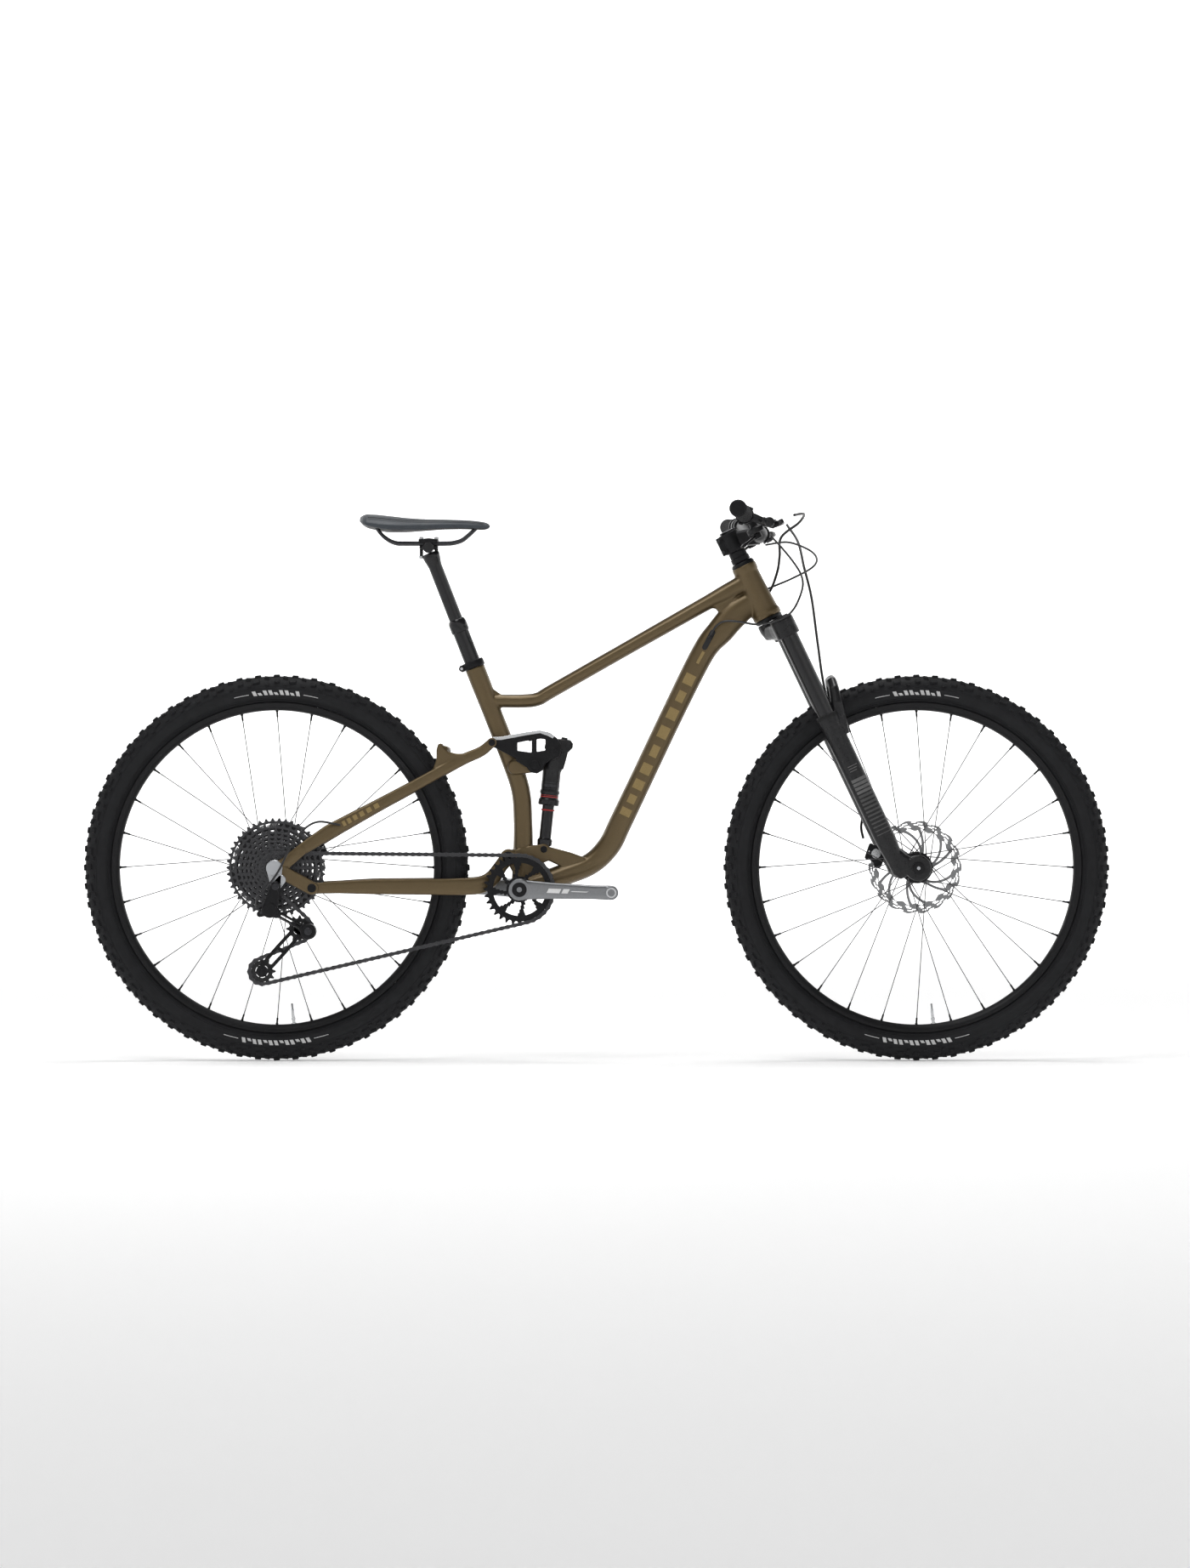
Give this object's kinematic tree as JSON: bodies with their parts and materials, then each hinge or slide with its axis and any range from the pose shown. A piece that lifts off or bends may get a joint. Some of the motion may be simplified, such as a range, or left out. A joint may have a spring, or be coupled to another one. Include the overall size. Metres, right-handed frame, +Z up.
{
  "type": "full-suspension mountain bike",
  "caption": "Full-suspension trail mountain bike with 29 inch wheels, telescopic fork, rear shock, dropper post, hydraulic disc brakes and a single-ring derailleur drive.",
  "frame": {"origin": "on the ground, half way between the two tyre contacts, in the middle plane of the bike", "axes": "+X forward, +Y to the rider's left, +Z up; the drive side is -Y"},
  "size_m": [1.9657, 0.7684, 1.0551],
  "materials": {
    "frame_paint": "satin metallic bronze olive paint",
    "black_alloy": "black anodised, satin",
    "black_gloss": "black gloss coating",
    "steel": "bare steel",
    "dark_steel": "dark hardened steel",
    "silver_alloy": "bead blasted silver",
    "black_plastic": "matt black glass-filled nylon",
    "tyre_rubber": "matt black rubber with knobs",
    "grip_rubber": "ribbed soft rubber",
    "saddle_skin": "dark blue-grey synthetic leather"
  },
  "bodies": {
    "frame": {"main_frame": "frame_paint", "bearing_cups": "black_alloy", "seat_clamp": "black_alloy", "dropper_outer": "black_gloss", "frame_pivot_axles": "black_alloy", "chain": "dark_steel", "frame_hoses": "black_plastic"},
    "chainstay": {"chainstays": "frame_paint", "horst_pivot_bolts": "black_alloy"},
    "seatstay": {"seatstays": "frame_paint", "derailleur_hanger": "silver_alloy", "derailleur_mount": "black_alloy", "rear_axle": "black_alloy", "rear_brake_caliper": "black_alloy", "rear_shift_housing": "black_plastic"},
    "rocker": {"rocker_link": "black_alloy", "rocker_bolts": "black_alloy"},
    "shock_shaft_body": {"shock_shaft": "black_gloss"},
    "shock_can_body": {"shock_air_can": "black_gloss"},
    "crank": {"crank_spindle": "black_alloy", "crank_arm_right": "silver_alloy", "crank_arm_left": "silver_alloy", "chainring": "black_alloy"},
    "rear_wheel": {"rear_tyre": "tyre_rubber", "rear_rim": "black_alloy", "rear_spokes": "steel", "rear_hub": "black_alloy", "rear_rotor": "steel"},
    "cassette_body": {"cassette": "dark_steel"},
    "derailleur_arm": {"derailleur_link": "black_alloy"},
    "derailleur_end": {"derailleur_knuckle": "black_alloy"},
    "derailleur_tail": {"derailleur_cage": "black_alloy"},
    "upper_pulley_body": {"upper_pulley": "black_plastic"},
    "lower_pulley_body": {"lower_pulley": "black_plastic"},
    "steering": {"fork_crown": "black_gloss", "fork_stanchions": "black_gloss", "stem": "black_alloy", "stem_faceplate": "black_alloy", "headset_spacers": "black_alloy", "handlebar": "black_alloy", "grips": "grip_rubber", "brake_lever_mounts": "black_alloy", "shifter_body": "black_plastic", "dropper_remote_mount": "black_plastic"},
    "fork_slider": {"fork_lowers": "black_gloss", "front_axle": "black_alloy", "front_brake_caliper": "black_alloy", "front_brake_hose": "black_plastic"},
    "front_wheel": {"front_tyre": "tyre_rubber", "front_rim": "black_alloy", "front_spokes": "steel", "front_hub": "black_alloy", "front_rotor": "steel"},
    "brake_lever_right_body": {"brake_lever_right": "black_alloy"},
    "brake_lever_left_body": {"brake_lever_left": "black_alloy"},
    "shift_paddle_body": {"shift_paddle": "black_plastic"},
    "dropper_lever_body": {"dropper_thumb_lever": "black_plastic"},
    "seat": {"dropper_stanchion": "black_gloss", "saddle_rails": "dark_steel", "saddle": "saddle_skin"}
  },
  "joints": [
    {"name": "rear_suspension", "type": "hinge", "parent": "frame", "child": "chainstay", "pos_m": [-0.169, 0, 0.39], "axis": [0, 1, 0], "range_deg": [0, 16.5], "stiffness_Nm_per_rad": 260, "deforming": ["chain"]},
    {"name": "horst_pivot", "type": "hinge", "parent": "chainstay", "child": "seatstay", "pos_m": [-0.542, 0, 0.332], "axis": [0, 1, 0], "range_deg": [-6.5, 0.2]},
    {"name": "rocker_pivot", "type": "hinge", "parent": "frame", "child": "rocker", "pos_m": [-0.118, 0, 0.566], "axis": [0, 1, 0], "range_deg": [-0.5, 38]},
    {"name": "shock_foot_pivot", "type": "hinge", "parent": "frame", "child": "shock_shaft_body", "pos_m": [-0.101, 0, 0.405], "axis": [0, 1, 0], "range_deg": [-0.5, 5]},
    {"name": "shock_stroke", "type": "slide", "parent": "shock_shaft_body", "child": "shock_can_body", "axis": [-0.1011, 0, -0.9949], "range_m": [-0.0005, 0.0265]},
    {"name": "crank_spin", "type": "hinge", "parent": "frame", "child": "crank", "pos_m": [-0.147, 0, 0.329], "axis": [0, 1, 0], "continuous": true},
    {"name": "rear_wheel_spin", "type": "hinge", "parent": "seatstay", "child": "rear_wheel", "pos_m": [-0.613, 0, 0.37], "axis": [0, 1, 0], "continuous": true},
    {"name": "cassette_spin", "type": "hinge", "parent": "seatstay", "child": "cassette_body", "pos_m": [-0.613, 0, 0.37], "axis": [0, 1, 0], "continuous": true},
    {"name": "derailleur_shift", "type": "hinge", "parent": "seatstay", "child": "derailleur_arm", "pos_m": [-0.608, -0.094, 0.284], "axis": [0.4098, 0.3972, 0.8211], "range_deg": [-4, 22], "stiffness_Nm_per_rad": 2, "deforming": ["rear_shift_housing"]},
    {"name": "derailleur_parallel", "type": "hinge", "parent": "derailleur_arm", "child": "derailleur_end", "pos_m": [-0.557, -0.094, 0.256], "axis": [0.4098, 0.3972, 0.8211], "range_deg": [-22.5, 4.5]},
    {"name": "derailleur_cage_pivot", "type": "hinge", "parent": "derailleur_end", "child": "derailleur_tail", "pos_m": [-0.548, 0, 0.25], "axis": [0, 1, 0], "range_deg": [-40, 12], "stiffness_Nm_per_rad": 0.8},
    {"name": "upper_pulley_spin", "type": "hinge", "parent": "derailleur_tail", "child": "upper_pulley_body", "pos_m": [-0.566, 0, 0.254], "axis": [0, 1, 0], "continuous": true},
    {"name": "lower_pulley_spin", "type": "hinge", "parent": "derailleur_tail", "child": "lower_pulley_body", "pos_m": [-0.638, 0, 0.173], "axis": [0, 1, 0], "continuous": true},
    {"name": "steering_turn", "type": "hinge", "parent": "frame", "child": "steering", "pos_m": [0.3288, 0, 0.8493], "axis": [-0.4289, 0, 0.9033], "range_deg": [-65, 65], "deforming": ["frame_hoses"]},
    {"name": "fork_compression", "type": "slide", "parent": "steering", "child": "fork_slider", "axis": [-0.4289, 0, 0.9033], "range_m": [0, 0.12], "stiffness_N_per_m": 3000, "deforming": ["front_brake_hose"]},
    {"name": "front_wheel_spin", "type": "hinge", "parent": "fork_slider", "child": "front_wheel", "pos_m": [0.613, 0, 0.37], "axis": [0, 1, 0], "continuous": true},
    {"name": "brake_lever_right_pull", "type": "hinge", "parent": "steering", "child": "brake_lever_right_body", "pos_m": [0.33311, -0.212, 1.0174], "axis": [-0.2588, 0, -0.9659], "range_deg": [0, 9.5], "stiffness_Nm_per_rad": 2},
    {"name": "brake_lever_left_pull", "type": "hinge", "parent": "steering", "child": "brake_lever_left_body", "pos_m": [0.33311, 0.212, 1.0174], "axis": [0.2588, 0, 0.9659], "range_deg": [0, 9.5], "stiffness_Nm_per_rad": 2},
    {"name": "shift_paddle_press", "type": "hinge", "parent": "steering", "child": "shift_paddle_body", "pos_m": [0.30188, -0.2, 0.99925], "axis": [0.4289, 0, -0.9033], "range_deg": [0, 24], "stiffness_Nm_per_rad": 1},
    {"name": "dropper_lever_press", "type": "hinge", "parent": "steering", "child": "dropper_lever_body", "pos_m": [0.30188, 0.2, 0.99925], "axis": [-0.4289, 0, 0.9033], "range_deg": [0, 24], "stiffness_Nm_per_rad": 1},
    {"name": "dropper_drop", "type": "slide", "parent": "frame", "child": "seat", "axis": [0.3633, 0, -0.9317], "range_m": [0, 0.12]}
  ],
  "couplings": [
    {"joint": "horst_pivot", "follows": "rear_suspension", "ratio": -0.3811},
    {"joint": "rocker_pivot", "follows": "rear_suspension", "ratio": 2.2658},
    {"joint": "shock_foot_pivot", "follows": "rear_suspension", "ratio": 0.2676},
    {"joint": "shock_stroke", "follows": "rear_suspension", "m_per_rad": 0.08726},
    {"joint": "cassette_spin", "follows": "crank_spin", "ratio": 2.2857},
    {"joint": "upper_pulley_spin", "follows": "crank_spin", "ratio": -2.6667},
    {"joint": "lower_pulley_spin", "follows": "crank_spin", "ratio": 2.6667},
    {"joint": "derailleur_parallel", "follows": "derailleur_shift", "ratio": -1}
  ]
}
